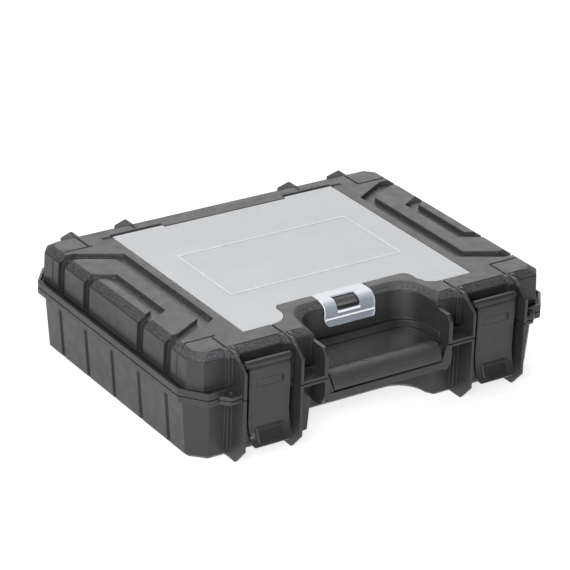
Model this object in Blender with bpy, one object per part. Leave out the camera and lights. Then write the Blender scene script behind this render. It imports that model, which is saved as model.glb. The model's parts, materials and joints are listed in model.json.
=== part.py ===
"""Hard tool case with an organiser in its lid, 385 mm wide.

Frame: +X to the right along the front, +Y to the back, +Z up. The origin is on the floor,
under the middle of the case. The numbers below are millimetres, and Blender gets metres.
"""

import math

import bmesh
import bpy
from mathutils import Matrix, Vector

MM = 0.001

# Heights of the closed case
CASE_TOP = 102.0
EDGE_Z = 96.5  # where the lid's walls turn into its sloping band
SPLIT_Z = 64.4
GAP = 0.3  # half of the gap between lid and base, and the gap between touching pieces
LID_FLANGE_TOP = 71.2
BASE_FLANGE_BOTTOM = 58.2
HEEL_Z = 4.5  # where the base's walls turn into the sloping edge of the sole

# Wall thicknesses
LID_WALL = 2.4
BASE_WALL = 2.6

# Fins: thin vertical plates at the front and the back that stack and guard the latches
FIN_X = (-147.7, -90.5, 90.5, 147.7)
FIN_THICK = 3.0
FIN_Y = 159.6
FIN_TOP_Y = 142.0
FIN_SLANT_Z = 89.4
FIN_TOE_Y = 146.6
FIN_TOE_Z = 14.5
FIN_ROOT_Y = 128.0
PILASTER_HALF = 6.0
PILASTER_Y = 140.3
POST_Y = 146.0
POST_TOP = 87.5

# Latches, in the bays between the outer and the inner fin of each side
LATCH_X = 119.4
LATCH_HALF = 20.5
LATCH_AXIS = (-148.0, 91.0)
BARREL_R = 4.2
PIN_R = 1.75
BORE_R = 2.05
PIN_DEPTH = 2.0  # how far a pin's end goes into a fin

# Main hinge at the back, on the split line
HINGE_AXIS = (151.0, SPLIT_Z)
KNUCKLE_R = 4.2
LUG_R = 4.6
REAR_FIN_TOP = 50.0  # the base's rear fins stop below the sweep of the lid's fins

# Handle
CHEEK_X = (63.5, 67.5)
HANDLE_Y = 159.6
PLATE_THICK = 3.2
PLATE_BOTTOM = 42.0
NOTCH_TOP_HALF = 62.8
NOTCH_HALF = 57.2
NOTCH_Z = 49.5
GRIP_Z = (50.1, 64.4)

# Organiser cover
COVER_HALF_X = 120.0
COVER_FRONT = -110.0
COVER_REAR = 109.5
COVER_SWEEP = 1.4  # room behind the cover, for its rear edge as it turns
COVER_THICK = 1.7
COVER_AXIS = (113.4, 98.8)
COVER_BARREL_R = 2.2
HINGE_INNER = 67.0
HINGE_OUTER = 119.5
TRUNNION_END = 128.0
TRUNNION_R = 1.4
TAB_X = (-30.0, 22.5)  # the tab stands a little left of the middle
TAB_CORNER = 6.0
TAB_LOW = 81.0
SLOT_X = (-17.5, 7.2)
NUB_X = (-16.5, 6.2)
SEAT_DEPTH = 2.0
SEAT_MARGIN = 0.5
TAB_EDGE = -102.6  # the front of the tab's upright part
TAB_THICK = 1.8
COVER_NOTCH = (71.5, -80.0, 9.0)  # half width, back and corner radius
COVER_FLARE = (88.0, -93.3, 16.5)  # centre and radius
LABEL_FRAME = (90.7, -43.6, 47.6)  # half width, front and back
LABEL_RIB = (1.6, 0.5)  # width and height
WELL_MARGIN = 4.0
WELL_WALL = 2.2
WELL_FLOOR = 71.5
WELL_SLAB = 2.3

# Channels round each end of the lid, as (x, y) on one quarter: far edge and near edge
CHANNELS = (
    (((187.8, 98.5), (166.5, 98.5), (129.5, 77.0)), ((187.8, 86.5), (170.0, 86.5), (141.5, 70.5))),
    (((187.8, 52.5), (174.5, 52.5), (157.0, 42.0)), ((187.8, 41.5), (176.5, 41.5), (168.0, 36.5))),
)
CHANNEL_DEPTH = 4.5
CHANNEL_BACK = 2.3  # the wall behind a channel

# Slots pressed into the lid's top
SLOT_WIDE = 1.5
FIN_SLOT_DEPTH = 1.6
PAD_SLOT_DEPTH = 1.3
SLOT_REACH = 106.0
INNER_SLOT_REACH = 121.0

# Upright grooves in the sides of the base
GROOVE_Y = (-93.0, -46.5, 0.0, 46.5, 93.0)
GROOVE_WIDE = 5.0
GROOVE_DEPTH = 2.4
GROOVE_BACK_WIDE = 9.0
GROOVE_BACK_DEPTH = 5.0

# Padlock eyes
LUG_THICK = 3.6
LUG_HOLE = (156.5, -149.0, 3.2)  # x, y and radius

FAR = 200.0  # beyond the case on every side

# Organiser tray and its dividers
TRAY_GAP = 0.6
TRAY_WALL = 1.4
TRAY_TOP = 98.6
COLUMN_X = 38.7
DIVIDER_THICK = 1.4
DIVIDER_TOP = 97.0
DIVIDER_Y = {
    "left": (-35.0, 10.0, 60.0),
    "middle": (-40.0, 12.0, 64.0),
    "right": (-50.0, 0.0, 50.0),
}
WELL_REAR = 106.0


class Plan:
    """A plan outline: a rectangle with cut corners and a round-cornered recess in its front."""

    STEPS = 6

    def __init__(self, half_x, half_y, cut_x, cut_y, mouth, throat, back, radius):
        self.half_x, self.half_y = half_x, half_y
        self.cut_x, self.cut_y = cut_x, cut_y
        self.mouth, self.throat = mouth, throat
        self.back, self.radius = back, radius

    def inset(self, depth):
        """The same outline moved into the material by this depth."""
        spare = self.cut_x + self.cut_y - math.hypot(self.cut_x, self.cut_y)
        return Plan(
            self.half_x - depth,
            self.half_y - depth,
            self.cut_x - depth * spare / self.cut_y,
            self.cut_y - depth * spare / self.cut_x,
            self.mouth + depth,
            self.throat + depth,
            self.back + depth,
            self.radius + depth,
        )

    def points(self):
        """The corners, counter-clockwise from above, from the recess round to it again."""
        centre = (self.throat - self.radius, self.back - self.radius)
        right = arc(centre, self.radius, 90, 0, self.STEPS)
        right += [
            (self.mouth, -self.half_y),
            (self.half_x - self.cut_x, -self.half_y),
            (self.half_x, -self.half_y + self.cut_y),
            (self.half_x, self.half_y - self.cut_y),
            (self.half_x - self.cut_x, self.half_y),
        ]
        return right + mirrored(right)[::-1]


def arc(centre, radius, start, end, steps):
    """Points on an arc, with its angles in degrees."""
    angles = [math.radians(start + (end - start) * i / steps) for i in range(steps + 1)]
    return [(centre[0] + radius * math.cos(a), centre[1] + radius * math.sin(a)) for a in angles]


def mirrored(points):
    """The points seen in a mirror at x = 0."""
    return [(-x, y) for x, y in points]


# Plan outlines of the lid, the base and the flange between them
LID_FOOT = Plan(186.0, 137.5, 10.0, 13.0, 64.5, 61.5, -101.5, 22.0)
LID_EDGE = Plan(184.5, 136.5, 9.0, 11.8, 64.3, 62.3, -98.5, 22.5)
LID_TOP = Plan(176.7, 129.0, 7.6, 8.1, 71.2, 68.0, -90.5, 24.0)
BASE_TOP = Plan(187.0, 138.0, 16.0, 17.0, 65.0, 62.0, -102.0, 22.0)
BASE_HEEL = Plan(182.5, 134.8, 14.5, 15.0, 67.5, 63.0, -101.5, 21.5)
BASE_SOLE = BASE_HEEL.inset(5.0)
FLANGE = Plan(192.5, 145.0, 16.5, 21.7, 62.5, 60.0, -107.5, 20.0)

BAND_RUN = LID_EDGE.half_x - LID_TOP.half_x
BAND_RISE = CASE_TOP - EDGE_Z
SOLE_RUN = BASE_HEEL.half_x - BASE_SOLE.half_x


# Shapes, added to a bmesh in millimetres


def placed(axis, across, along):
    """The 3D point for a point of an outline across an axis. The outline keeps x, y, z order."""
    a, b = across
    return {"X": (along, a, b), "Y": (a, along, b), "Z": (a, b, along)}[axis]


def add_loft(bm, sections, axis="Z"):
    """A closed solid through outlines of equally many points, each (points, place on the axis)."""
    rings = [[bm.verts.new(placed(axis, p, along)) for p in points] for points, along in sections]
    for lower, upper in zip(rings, rings[1:]):
        for i in range(len(lower)):
            j = (i + 1) % len(lower)
            bm.faces.new((lower[i], lower[j], upper[j], upper[i]))
    bm.faces.new(rings[0][::-1])
    bm.faces.new(rings[-1])


def add_prism(bm, points, axis, lo, hi):
    """A prism over an outline, between two places on the axis."""
    add_loft(bm, [(points, lo), (points, hi)], axis)


def add_box(bm, lo, hi):
    """A box between two corners."""
    corners = [(lo[0], lo[1]), (hi[0], lo[1]), (hi[0], hi[1]), (lo[0], hi[1])]
    add_prism(bm, corners, "Z", lo[2], hi[2])


def add_rod(bm, centre, radius, lo, hi, axis="X", segments=24):
    """A cylinder along an axis, centred on (y, z) for X or (x, y) for Z."""
    turn = Matrix.Rotation(math.radians(90), 4, "Y") if axis == "X" else Matrix.Identity(4)
    middle = placed(axis, centre, (lo + hi) / 2)
    bmesh.ops.create_cone(
        bm,
        cap_ends=True,
        segments=segments,
        radius1=radius,
        radius2=radius,
        depth=hi - lo,
        matrix=Matrix.Translation(middle) @ turn,
    )


def both_sides(x_range):
    """An x range and its mirror image."""
    lo, hi = x_range
    return ((lo, hi), (-hi, -lo))


# Objects


def collection(name, hidden=False):
    """A new collection in the scene, left out of the part if hidden."""
    made = bpy.data.collections.new(name)
    bpy.context.scene.collection.children.link(made)
    made.hide_render = hidden
    return made


def plastic(name, colour, roughness, transmission=0.0):
    """A plain finish for looking at the part."""
    made = bpy.data.materials.new(name)
    made.use_nodes = True
    shader = made.node_tree.nodes["Principled BSDF"]
    shader.inputs["Base Color"].default_value = (*colour, 1.0)
    shader.inputs["Roughness"].default_value = roughness
    shader.inputs["Transmission Weight"].default_value = transmission
    return made


def mesh_object(name, bm, where, material=None):
    """Makes an object of the shapes, and frees them."""
    bmesh.ops.recalc_face_normals(bm, faces=bm.faces)
    bmesh.ops.scale(bm, verts=bm.verts, vec=(MM, MM, MM))
    mesh = bpy.data.meshes.new(name)
    bm.to_mesh(mesh)
    bm.free()
    made = bpy.data.objects.new(name, mesh)
    where.objects.link(made)
    if material:
        mesh.materials.append(material)
    return made


def move_origin(obj, origin):
    """Puts the origin of an object and of its tools at a place, without moving the shapes."""
    for modifier in obj.modifiers:
        move_origin(modifier.object, origin)
    obj.data.transform(Matrix.Translation(-Vector(origin) * MM))
    obj.location = Vector(origin) * MM


def tool(name, bm):
    """A helper that joins or cuts: never a part of its own."""
    made = mesh_object(name, bm, TOOLS)
    made.hide_render = True
    made.display_type = "WIRE"
    return made


def shape_tool(name, add, *args):
    """A helper made of one shape."""
    bm = bmesh.new()
    add(bm, *args)
    return tool(name, bm)


def combine(target, other, operation):
    """Adds a Boolean that joins, cuts or intersects with another object."""
    modifier = target.modifiers.new(other.name, "BOOLEAN")
    modifier.operation = operation
    modifier.object = other


def join(target, other):
    """Adds another object to the target."""
    combine(target, other, "UNION")


def cut(target, other):
    """Takes another object away from the target."""
    combine(target, other, "DIFFERENCE")


def solve_as_manifold(obj):
    """EXACT doubles faces in the lid, where fins, ledges and lugs all end in one plane."""
    for modifier in obj.modifiers:
        modifier.solver = "MANIFOLD"


# Shapes shared by the lid and the base


def lid_sections(depth, bottom):
    """Sections of the lid's outside, moved into the material by a depth."""
    slope = math.atan2(BAND_RISE, BAND_RUN)
    edge_z = EDGE_Z - depth * math.tan((math.pi / 2 - slope) / 2)
    top_plan = LID_TOP.inset(depth * math.tan(slope / 2))
    return [
        (LID_FOOT.inset(depth).points(), bottom),
        (LID_EDGE.inset(depth).points(), edge_z),
        (top_plan.points(), CASE_TOP - depth),
    ]


def base_sections(depth, top):
    """Sections of the base's outside, moved into the material by a depth."""
    slope = math.atan2(HEEL_Z, SOLE_RUN)
    heel_z = HEEL_Z + depth * math.tan((math.pi / 2 - slope) / 2)
    return [
        (BASE_SOLE.inset(depth * math.tan(slope / 2)).points(), depth),
        (BASE_HEEL.inset(depth).points(), heel_z),
        (BASE_TOP.inset(depth).points(), top),
    ]


def slabs(points, depth_sign, middles, thick):
    """One prism across X at each middle, with its outline's y multiplied by the sign."""
    bm = bmesh.new()
    outline = [(depth_sign * y, z) for y, z in points]
    for x in middles:
        add_prism(bm, outline, "X", x - thick / 2, x + thick / 2)
    return bm


def fin_slots():
    """Narrow slots that carry the line of each fin and the corner pads across the lid's top."""
    bm = bmesh.new()
    aside = 1.0
    edge = LID_TOP.half_y - 0.5
    low, high = CASE_TOP - FIN_SLOT_DEPTH, CASE_TOP + 1
    for x in FIN_X:
        rear_reach = SLOT_REACH if x in (FIN_X[0], FIN_X[-1]) else INNER_SLOT_REACH
        for lo, hi in ((-edge, -SLOT_REACH), (rear_reach, edge)):
            add_box(bm, (x - SLOT_WIDE - aside, lo, low), (x - aside, hi, high))
    return bm


def pad_slots():
    """The slots around the corner pads, from the outer fins over the lid's shoulder.

    Each is a groove of an even depth, so the lid stays closed behind it.
    """
    bm = bmesh.new()
    inner, bend, shift, far = abs(FIN_X[0]) - 2.0, 174.5, 3.0, 192.0
    outer_y = SLOT_REACH + shift
    for sx in (-1, 1):
        for sy in (-1, 1):
            line = [(inner, SLOT_REACH), (bend, SLOT_REACH), (bend + 5.0, outer_y), (far, outer_y)]
            line += [(x, y - SLOT_WIDE) for x, y in line[::-1]]
            outline = [(sx * x, sy * y) for x, y in line]
            add_prism(bm, outline, "Z", LID_FLANGE_TOP + 0.4, CASE_TOP + 1)
    made = tool("lid_pad_slots", bm)
    cut(made, shape_tool("lid_pad_slots_core", add_loft, lid_sections(PAD_SLOT_DEPTH, SPLIT_Z)))
    return made


# The organiser's cover, and the well and tray under it


def cover_plan(inset, rear):
    """The outline of the cover: it flares out to both sides in front of the handle's recess."""
    notch_half, notch_back, notch_r = COVER_NOTCH
    flare_x, flare_y, flare_r = COVER_FLARE
    corner = (notch_half - notch_r, notch_back - notch_r)
    right = arc(corner, notch_r + inset, 90, 0, 4)
    right += arc((flare_x, flare_y), flare_r - inset, 180, 270, 5)
    right += [(COVER_HALF_X - inset, COVER_FRONT + inset), (COVER_HALF_X - inset, rear)]
    return right + mirrored(right)[::-1]


def tab_path(lift):
    """The tab's line in (y, z) at a distance inside its outer face, from the plate down."""
    radius = 10.0
    bend = (TAB_EDGE + radius, CASE_TOP - radius)
    curve = arc(bend, radius - lift, 90, 180, 6)
    crease = TAB_LOW + 6.0
    lip = [(TAB_EDGE + lift, crease), (TAB_EDGE - 2.6 + lift * 0.8, TAB_LOW - lift * 0.4)]
    return [(-78.0, CASE_TOP - lift)] + curve + lip


def cover_tab():
    """The tab that bends down over the edge, with round lower corners."""
    bm = bmesh.new()
    lo, hi = TAB_X
    add_prism(bm, tab_path(0.0) + tab_path(TAB_THICK)[::-1], "X", lo, hi)
    made = tool("cover_tab", bm)
    bm = bmesh.new()
    low = TAB_LOW - 0.8
    left = arc((lo + TAB_CORNER, low + TAB_CORNER), TAB_CORNER, 180, 270, 4)
    right = arc((hi - TAB_CORNER, low + TAB_CORNER), TAB_CORNER, 270, 360, 4)
    add_prism(bm, left + right + [(hi, CASE_TOP + 1), (lo, CASE_TOP + 1)], "Y", -110.0, -70.0)
    combine(made, tool("cover_tab_front_view", bm), "INTERSECT")
    return made


def build_cover(where, milky):
    """The clear cover with its hinge leaves, barrels, tab and label frame."""
    bm = bmesh.new()
    add_prism(bm, cover_plan(0.0, COVER_REAR), "Z", CASE_TOP - COVER_THICK, CASE_TOP)
    cover = mesh_object("organiser_cover", bm, where, milky)

    bm = bmesh.new()
    for lo, hi in both_sides((HINGE_INNER, HINGE_OUTER)):
        rear = COVER_AXIS[0]
        low = CASE_TOP - COVER_THICK
        add_box(bm, (lo, COVER_REAR - 1, low), (hi, rear, CASE_TOP))
    join(cover, tool("cover_leaves", bm))

    bm = bmesh.new()
    for lo, hi in both_sides((HINGE_INNER, HINGE_OUTER)):
        add_rod(bm, COVER_AXIS, COVER_BARREL_R, lo, hi, segments=16)
    join(cover, tool("cover_barrels", bm))

    bm = bmesh.new()
    for lo, hi in both_sides((HINGE_OUTER - 2, TRUNNION_END)):
        add_rod(bm, COVER_AXIS, TRUNNION_R, lo, hi, segments=12)
    join(cover, tool("cover_trunnions", bm))

    join(cover, cover_tab())

    bm = bmesh.new()
    lo, hi = SLOT_X
    corner, low, high = 2.5, 93.2, CASE_TOP + 1
    outline = [(lo, high), (lo, low + corner), (lo + corner, low)]
    outline += [(hi - corner, low), (hi, low + corner), (hi, high)]
    add_prism(bm, outline, "Y", -106.0, -89.0)
    cut(cover, tool("cover_tab_slot", bm))

    bm = bmesh.new()
    half_x, front, back = LABEL_FRAME
    half_rib = LABEL_RIB[0] / 2
    low, high = CASE_TOP - 1, CASE_TOP + LABEL_RIB[1]
    for y in (front, back):
        add_box(bm, (-half_x, y - half_rib, low), (half_x, y + half_rib, high))
    for x in (-half_x, half_x):
        add_box(bm, (x - half_rib, front - half_rib, low), (x + half_rib, back + half_rib, high))
    frame = tool("cover_label_frame", bm)
    joined = cover.modifiers.new(frame.name, "BOOLEAN")
    joined.operation = "UNION"
    joined.object = frame
    joined.use_self = True
    move_origin(cover, (0.0, *COVER_AXIS))


def column_ranges():
    """The three columns of the tray: (name, x from, x to, front y)."""
    inner = COVER_HALF_X - WELL_MARGIN - TRAY_GAP - TRAY_WALL
    half_wall = TRAY_WALL / 2
    return (
        ("left", -inner, -COLUMN_X - half_wall),
        ("middle", -COLUMN_X + half_wall, COLUMN_X - half_wall),
        ("right", COLUMN_X + half_wall, inner),
    )


def build_tray(where, natural):
    """The organiser's tray: three columns with guides for the dividers."""
    margin = WELL_MARGIN + TRAY_GAP
    floor = WELL_FLOOR + GAP
    bm = bmesh.new()
    add_prism(bm, cover_plan(margin, WELL_REAR - TRAY_GAP), "Z", floor, TRAY_TOP)
    tray = mesh_object("organiser_tray", bm, where, natural)

    margin += TRAY_WALL
    bm = bmesh.new()
    inside = cover_plan(margin, WELL_REAR - TRAY_GAP - TRAY_WALL)
    add_prism(bm, inside, "Z", floor + TRAY_WALL, TRAY_TOP + 5)
    hollow = tool("tray_hollow", bm)
    bm = bmesh.new()
    for x in (-COLUMN_X, COLUMN_X):
        add_box(bm, (x - TRAY_WALL / 2, -120, 60), (x + TRAY_WALL / 2, 120, TRAY_TOP - 1.2))
    cut(hollow, tool("tray_columns", bm))
    cut(tray, hollow)

    bm = bmesh.new()
    rib, proud = 1.2, 1.6
    for name, lo, hi in column_ranges():
        for y in DIVIDER_Y[name]:
            for side in (-1, 1):
                near = y + side * (DIVIDER_THICK / 2 + GAP)
                span = sorted((near, near + side * rib))
                for wall, inward in ((lo, 1), (hi, -1)):
                    ends = sorted((wall - inward * 0.5, wall + inward * proud))
                    low, high = floor + TRAY_WALL - 0.5, DIVIDER_TOP - 1.0
                    add_box(bm, (ends[0], span[0], low), (ends[1], span[1], high))
    join(tray, tool("tray_divider_guides", bm))
    return tray


def build_dividers(where, natural):
    """Loose cross walls that slide down between the tray's guides."""
    for name, lo, hi in column_ranges():
        for number, y in enumerate(DIVIDER_Y[name], start=1):
            bm = bmesh.new()
            low = (lo + GAP, y - DIVIDER_THICK / 2, WELL_FLOOR + TRAY_WALL + 2 * GAP)
            high = (hi - GAP, y + DIVIDER_THICK / 2, DIVIDER_TOP)
            add_box(bm, low, high)
            mesh_object(f"divider_{name}_{number}", bm, where, natural)


# The lid


def channel_outline(side, far, near, wide):
    """A C-shaped channel round one end of the lid, each of its edges moved out by a width."""
    far_half = [(x - wide, y + wide) for x, y in far]
    near_half = [(x + wide, y - wide) for x, y in near]
    outline = far_half + [(x, -y) for x, y in far_half[::-1]]
    outline += [(x, -y) for x, y in near_half] + near_half[::-1]
    return [(side * x, y) for x, y in outline]


def channels(name, wide, depth):
    """The channels at both ends of the lid, down to a depth that follows the lid's shape."""
    bm = bmesh.new()
    low = LID_FLANGE_TOP - 3.5 - wide
    for side in (-1, 1):
        for far, near in CHANNELS:
            outline = channel_outline(side, far, near, wide)
            add_prism(bm, outline, "Z", low, CASE_TOP + 5)
    made = tool(name, bm)
    cut(made, shape_tool(name + "_core", add_loft, lid_sections(depth, SPLIT_Z)))
    return made


def lid_fin():
    """The outline of one of the lid's front fins, as (y, z)."""
    return [
        (-FIN_ROOT_Y, CASE_TOP),
        (-FIN_TOP_Y, CASE_TOP),
        (-FIN_Y, FIN_SLANT_Z),
        (-FIN_Y, SPLIT_Z + GAP),
        (-FIN_ROOT_Y, SPLIT_Z + GAP),
    ]


def lid_additions():
    """What stands out from the lid's walls, as tools to join."""
    low = SPLIT_Z + GAP
    yield tool("lid_front_fins", slabs(lid_fin(), 1, FIN_X, FIN_THICK))
    yield tool("lid_rear_fins", slabs(lid_fin(), -1, FIN_X, FIN_THICK))

    slope_y, slope_z = LID_TOP.half_y + PILASTER_Y - LID_EDGE.half_y, EDGE_Z + 0.3
    pilaster = [
        (-FIN_ROOT_Y, low),
        (-PILASTER_Y, low),
        (-PILASTER_Y, slope_z),
        (-slope_y, CASE_TOP - 0.1),
        (-FIN_ROOT_Y, CASE_TOP - 0.1),
    ]
    yield tool("lid_front_pilasters", slabs(pilaster, 1, FIN_X, 2 * PILASTER_HALF))

    bm = bmesh.new()
    for x in FIN_X:
        inward = math.copysign(1, LATCH_X - abs(x)) * math.copysign(1, x)
        lo, hi = sorted((x, x + inward * (PILASTER_HALF + 0.6)))
        add_box(bm, (lo, -POST_Y, low), (hi, -FIN_ROOT_Y, POST_TOP))
    yield tool("lid_posts", bm)

    front, root = -HANDLE_Y + 0.6, -130.0
    cheek = [(root, low), (front, low), (front, 86.0), (-154.5, 92.0), (root, 92.5)]
    bm = bmesh.new()
    for lo, hi in both_sides(CHEEK_X):
        add_prism(bm, cheek, "X", lo, hi)
    yield tool("lid_cheeks", bm)

    bm = bmesh.new()
    for lo, hi in both_sides((CHEEK_X[1] - 1, abs(FIN_X[1]))):
        add_box(bm, (lo, front, low), (hi, -LID_EDGE.half_y + 2, low + 2.8))
    yield tool("lid_handle_ledges", bm)

    bm = bmesh.new()
    for x in FIN_X:
        add_rod(bm, HINGE_AXIS, LUG_R, x - FIN_THICK / 2 - 1, x + FIN_THICK / 2 + 1)
    yield tool("lid_hinge_lugs", bm)
    yield padlock_lugs("lid", low, low + LUG_THICK)


def padlock_lugs(owner, low, high):
    """Eyes for a small padlock, just outside the outer front fins."""
    bm = bmesh.new()
    inner, outer, front = abs(FIN_X[0]), 166.5, -155.5
    outline = [(inner, -140), (inner, front), (160.0, front), (outer, -148.5), (outer, -140)]
    for side in (-1, 1):
        add_prism(bm, [(side * x, y) for x, y in outline], "Z", low, high)
    return tool(owner + "_padlock_lugs", bm)


def padlock_holes(owner, low, high):
    """The holes in the padlock eyes."""
    x, y, radius = LUG_HOLE
    bm = bmesh.new()
    for side in (-1, 1):
        add_rod(bm, (side * x, y), radius, low, high, "Z", 16)
    return tool(owner + "_padlock_holes", bm)


def lid_hollow():
    """The room under the lid: its inside, less the organiser's well and the hinge's block."""
    bm = bmesh.new()
    add_loft(bm, lid_sections(LID_WALL, SPLIT_Z - 5))
    hollow = tool("lid_hollow", bm)
    bm = bmesh.new()
    slab = WELL_FLOOR - WELL_SLAB
    add_prism(bm, cover_plan(WELL_MARGIN - WELL_WALL, WELL_REAR + WELL_WALL), "Z", slab, CASE_TOP)
    cut(hollow, tool("lid_well_outside", bm))
    bm = bmesh.new()
    add_box(bm, (-133.0, WELL_REAR, 93.8), (133.0, 120.5, CASE_TOP))
    cut(hollow, tool("lid_hinge_block", bm))
    bm = bmesh.new()
    seat = 97.4
    add_prism(bm, cover_plan(-2.4, WELL_REAR + 4), "Z", seat, CASE_TOP)
    cut(hollow, tool("lid_seat_block", bm))
    backs = channels("lid_channel_backs", CHANNEL_BACK, CHANNEL_DEPTH + CHANNEL_BACK)
    cut(hollow, backs)
    return hollow


def lid_cuts():
    """What is cut out of the lid from above and from its sides, as tools."""
    bm = bmesh.new()
    add_prism(bm, cover_plan(WELL_MARGIN, WELL_REAR), "Z", WELL_FLOOR, CASE_TOP + 5)
    yield tool("lid_well", bm)
    bm = bmesh.new()
    seat = cover_plan(-SEAT_MARGIN, COVER_REAR + COVER_SWEEP)
    add_prism(bm, seat, "Z", CASE_TOP - SEAT_DEPTH, CASE_TOP + 5)
    yield tool("lid_cover_seat", bm)
    bm = bmesh.new()
    axis_y, axis_z = COVER_AXIS
    for lo, hi in both_sides((HINGE_INNER - 0.6, HINGE_OUTER + 0.8)):
        add_box(bm, (lo, 109.8, axis_z - COVER_BARREL_R - 0.5), (hi, axis_y + 4.3, CASE_TOP + 5))
    yield tool("lid_hinge_pockets", bm)
    bm = bmesh.new()
    for lo, hi in both_sides((HINGE_OUTER, TRUNNION_END + 0.6)):
        add_rod(bm, COVER_AXIS, TRUNNION_R + 0.35, lo, hi, segments=12)
    yield tool("lid_trunnion_holes", bm)
    bm = bmesh.new()
    for lo, hi in both_sides((HINGE_OUTER, TRUNNION_END + 3.0)):
        add_box(bm, (lo, axis_y - 2.4, CASE_TOP - 1.1), (hi, axis_y + 2.0, CASE_TOP + 5))
    yield tool("lid_trunnion_marks", bm)
    bm = bmesh.new()
    add_box(bm, (TAB_X[0] - 0.8, -99.0, CASE_TOP - 2.3), (TAB_X[1] + 0.8, -79.0, CASE_TOP + 5))
    yield tool("lid_tab_notch", bm)
    yield tool("lid_fin_slots", fin_slots())
    yield pad_slots()
    bm = bmesh.new()
    for side in (-1, 1):
        outer, inner = (abs(x) * side for x in FIN_X[:2])
        middle = (outer + inner) / 2
        half = abs(outer - inner) / 2 - FIN_THICK / 2 + PIN_DEPTH
        add_rod(bm, LATCH_AXIS, PIN_R + 0.2, middle - half, middle + half, segments=16)
        add_rod(bm, HINGE_AXIS, PIN_R + 0.2, middle - half, middle + half, segments=16)
    yield tool("lid_pin_holes", bm)
    yield padlock_holes("lid", SPLIT_Z - 5, LID_FLANGE_TOP + 5)


def flange_channel():
    """The channel along the top of the lid's flange, between its rim and the lid's wall."""
    rim, low = 2.6, LID_FLANGE_TOP - 3.8
    bm = bmesh.new()
    add_prism(bm, FLANGE.inset(rim).points(), "Z", low, LID_FLANGE_TOP + 2)
    made = tool("lid_flange_channel", bm)
    cut(made, shape_tool("lid_flange_channel_core", add_loft, lid_sections(-0.05, SPLIT_Z)))
    return made


def build_lid(where, black):
    """The lid: its shell, flange, fins, handle cheeks and the organiser's well."""
    bm = bmesh.new()
    add_loft(bm, lid_sections(0.0, SPLIT_Z + GAP))
    lid = mesh_object("lid_shell", bm, where, black)
    bm = bmesh.new()
    add_prism(bm, FLANGE.points(), "Z", SPLIT_Z + GAP, LID_FLANGE_TOP)
    join(lid, tool("lid_flange", bm))
    cut(lid, flange_channel())
    cut(lid, channels("lid_channels", 0.0, CHANNEL_DEPTH))
    for addition in lid_additions():
        join(lid, addition)
    cut(lid, lid_hollow())
    for cutter in lid_cuts():
        cut(lid, cutter)

    bm = bmesh.new()
    nub_front, nub_low, nub_high = -100.3, 93.4, 97.2
    add_box(bm, (NUB_X[0], nub_front, nub_low), (NUB_X[1], -95.0, nub_high))
    join(lid, tool("lid_catch_nub", bm))
    move_origin(lid, (0.0, *HINGE_AXIS))
    solve_as_manifold(lid)


# The base


def base_additions():
    """What stands out from the base's walls, as tools to join."""
    high = SPLIT_Z - GAP
    toe = [(-FIN_Y, FIN_TOE_Z), (-FIN_TOE_Y, 0.0), (-FIN_ROOT_Y, 0.0)]
    front = [(-FIN_ROOT_Y, high), (-FIN_Y, high)] + toe
    rear = [(-FIN_ROOT_Y, REAR_FIN_TOP), (-150.0, REAR_FIN_TOP), (-FIN_Y, REAR_FIN_TOP - 8)] + toe
    yield tool("base_front_fins", slabs(front, 1, FIN_X, FIN_THICK))
    yield tool("base_rear_fins", slabs(rear, -1, FIN_X, FIN_THICK))

    pilaster = [(-130, high), (-PILASTER_Y, high), (-PILASTER_Y, HEEL_Z + 5), (-130, HEEL_Z)]
    yield tool("base_front_pilasters", slabs(pilaster, 1, FIN_X, 2 * PILASTER_HALF))

    front, root = -HANDLE_Y + 0.4, -130.0
    cheek = [(root, high), (front, high), (front, 46.0)]
    cheek += [(-154.0, 37.5), (-147.0, 35.5), (root, 38.0)]
    bm = bmesh.new()
    for lo, hi in both_sides(CHEEK_X):
        add_prism(bm, cheek, "X", lo, hi)
    yield tool("base_cheeks", bm)

    bm = bmesh.new()
    for lo, hi in both_sides((CHEEK_X[1] - 1, abs(FIN_X[1]))):
        add_box(bm, (lo, -HANDLE_Y + 0.6, high - 2.8), (hi, -BASE_HEEL.half_y + 2, high))
    yield tool("base_handle_ledges", bm)
    yield tool("base_handle_plate", handle_plate())

    bm = bmesh.new()
    half = CHEEK_X[0] + 1.5
    add_box(bm, (-half, -HANDLE_Y + 2, PLATE_BOTTOM + 0.4), (half, -140.0, PLATE_BOTTOM + 3.4))
    yield tool("base_handle_web", bm)

    bm = bmesh.new()
    for side in (-1, 1):
        x = side * LATCH_X
        add_box(bm, (x - 18, -148.2, 51.0), (x + 18, -135.0, BASE_FLANGE_BOTTOM + 2))
    yield tool("base_latch_catches", bm)

    bm = bmesh.new()
    for side in (-1, 1):
        x = side * LATCH_X
        add_rod(bm, HINGE_AXIS, KNUCKLE_R, x - 19.5, x + 19.5)
    yield tool("base_hinge_knuckles", bm)
    bm = bmesh.new()
    root, end, top = 136.0, HINGE_AXIS[0], high - 0.6
    arm = [(root, high - 4.0), (root, top), (end, top), (end, high - 3.0)]
    for side in (-1, 1):
        x = side * LATCH_X
        add_prism(bm, arm, "X", x - 19.0, x + 19.0)
    yield tool("base_hinge_arms", bm)
    yield padlock_lugs("base", high - LUG_THICK, high)


def handle_plate():
    """The handle's upright front plate, with a notch in its top edge for the grip."""
    half, corner = CHEEK_X[1], 8.0
    high = SPLIT_Z - GAP
    centre = (half - corner, PLATE_BOTTOM + corner)
    right = arc(centre, corner, -90, 0, 4)
    right += [(half, high), (NOTCH_TOP_HALF, high), (NOTCH_HALF, NOTCH_Z)]
    bm = bmesh.new()
    outline = right + mirrored(right)[::-1]
    add_prism(bm, outline, "Y", -HANDLE_Y, -HANDLE_Y + PLATE_THICK)
    return bm


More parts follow.
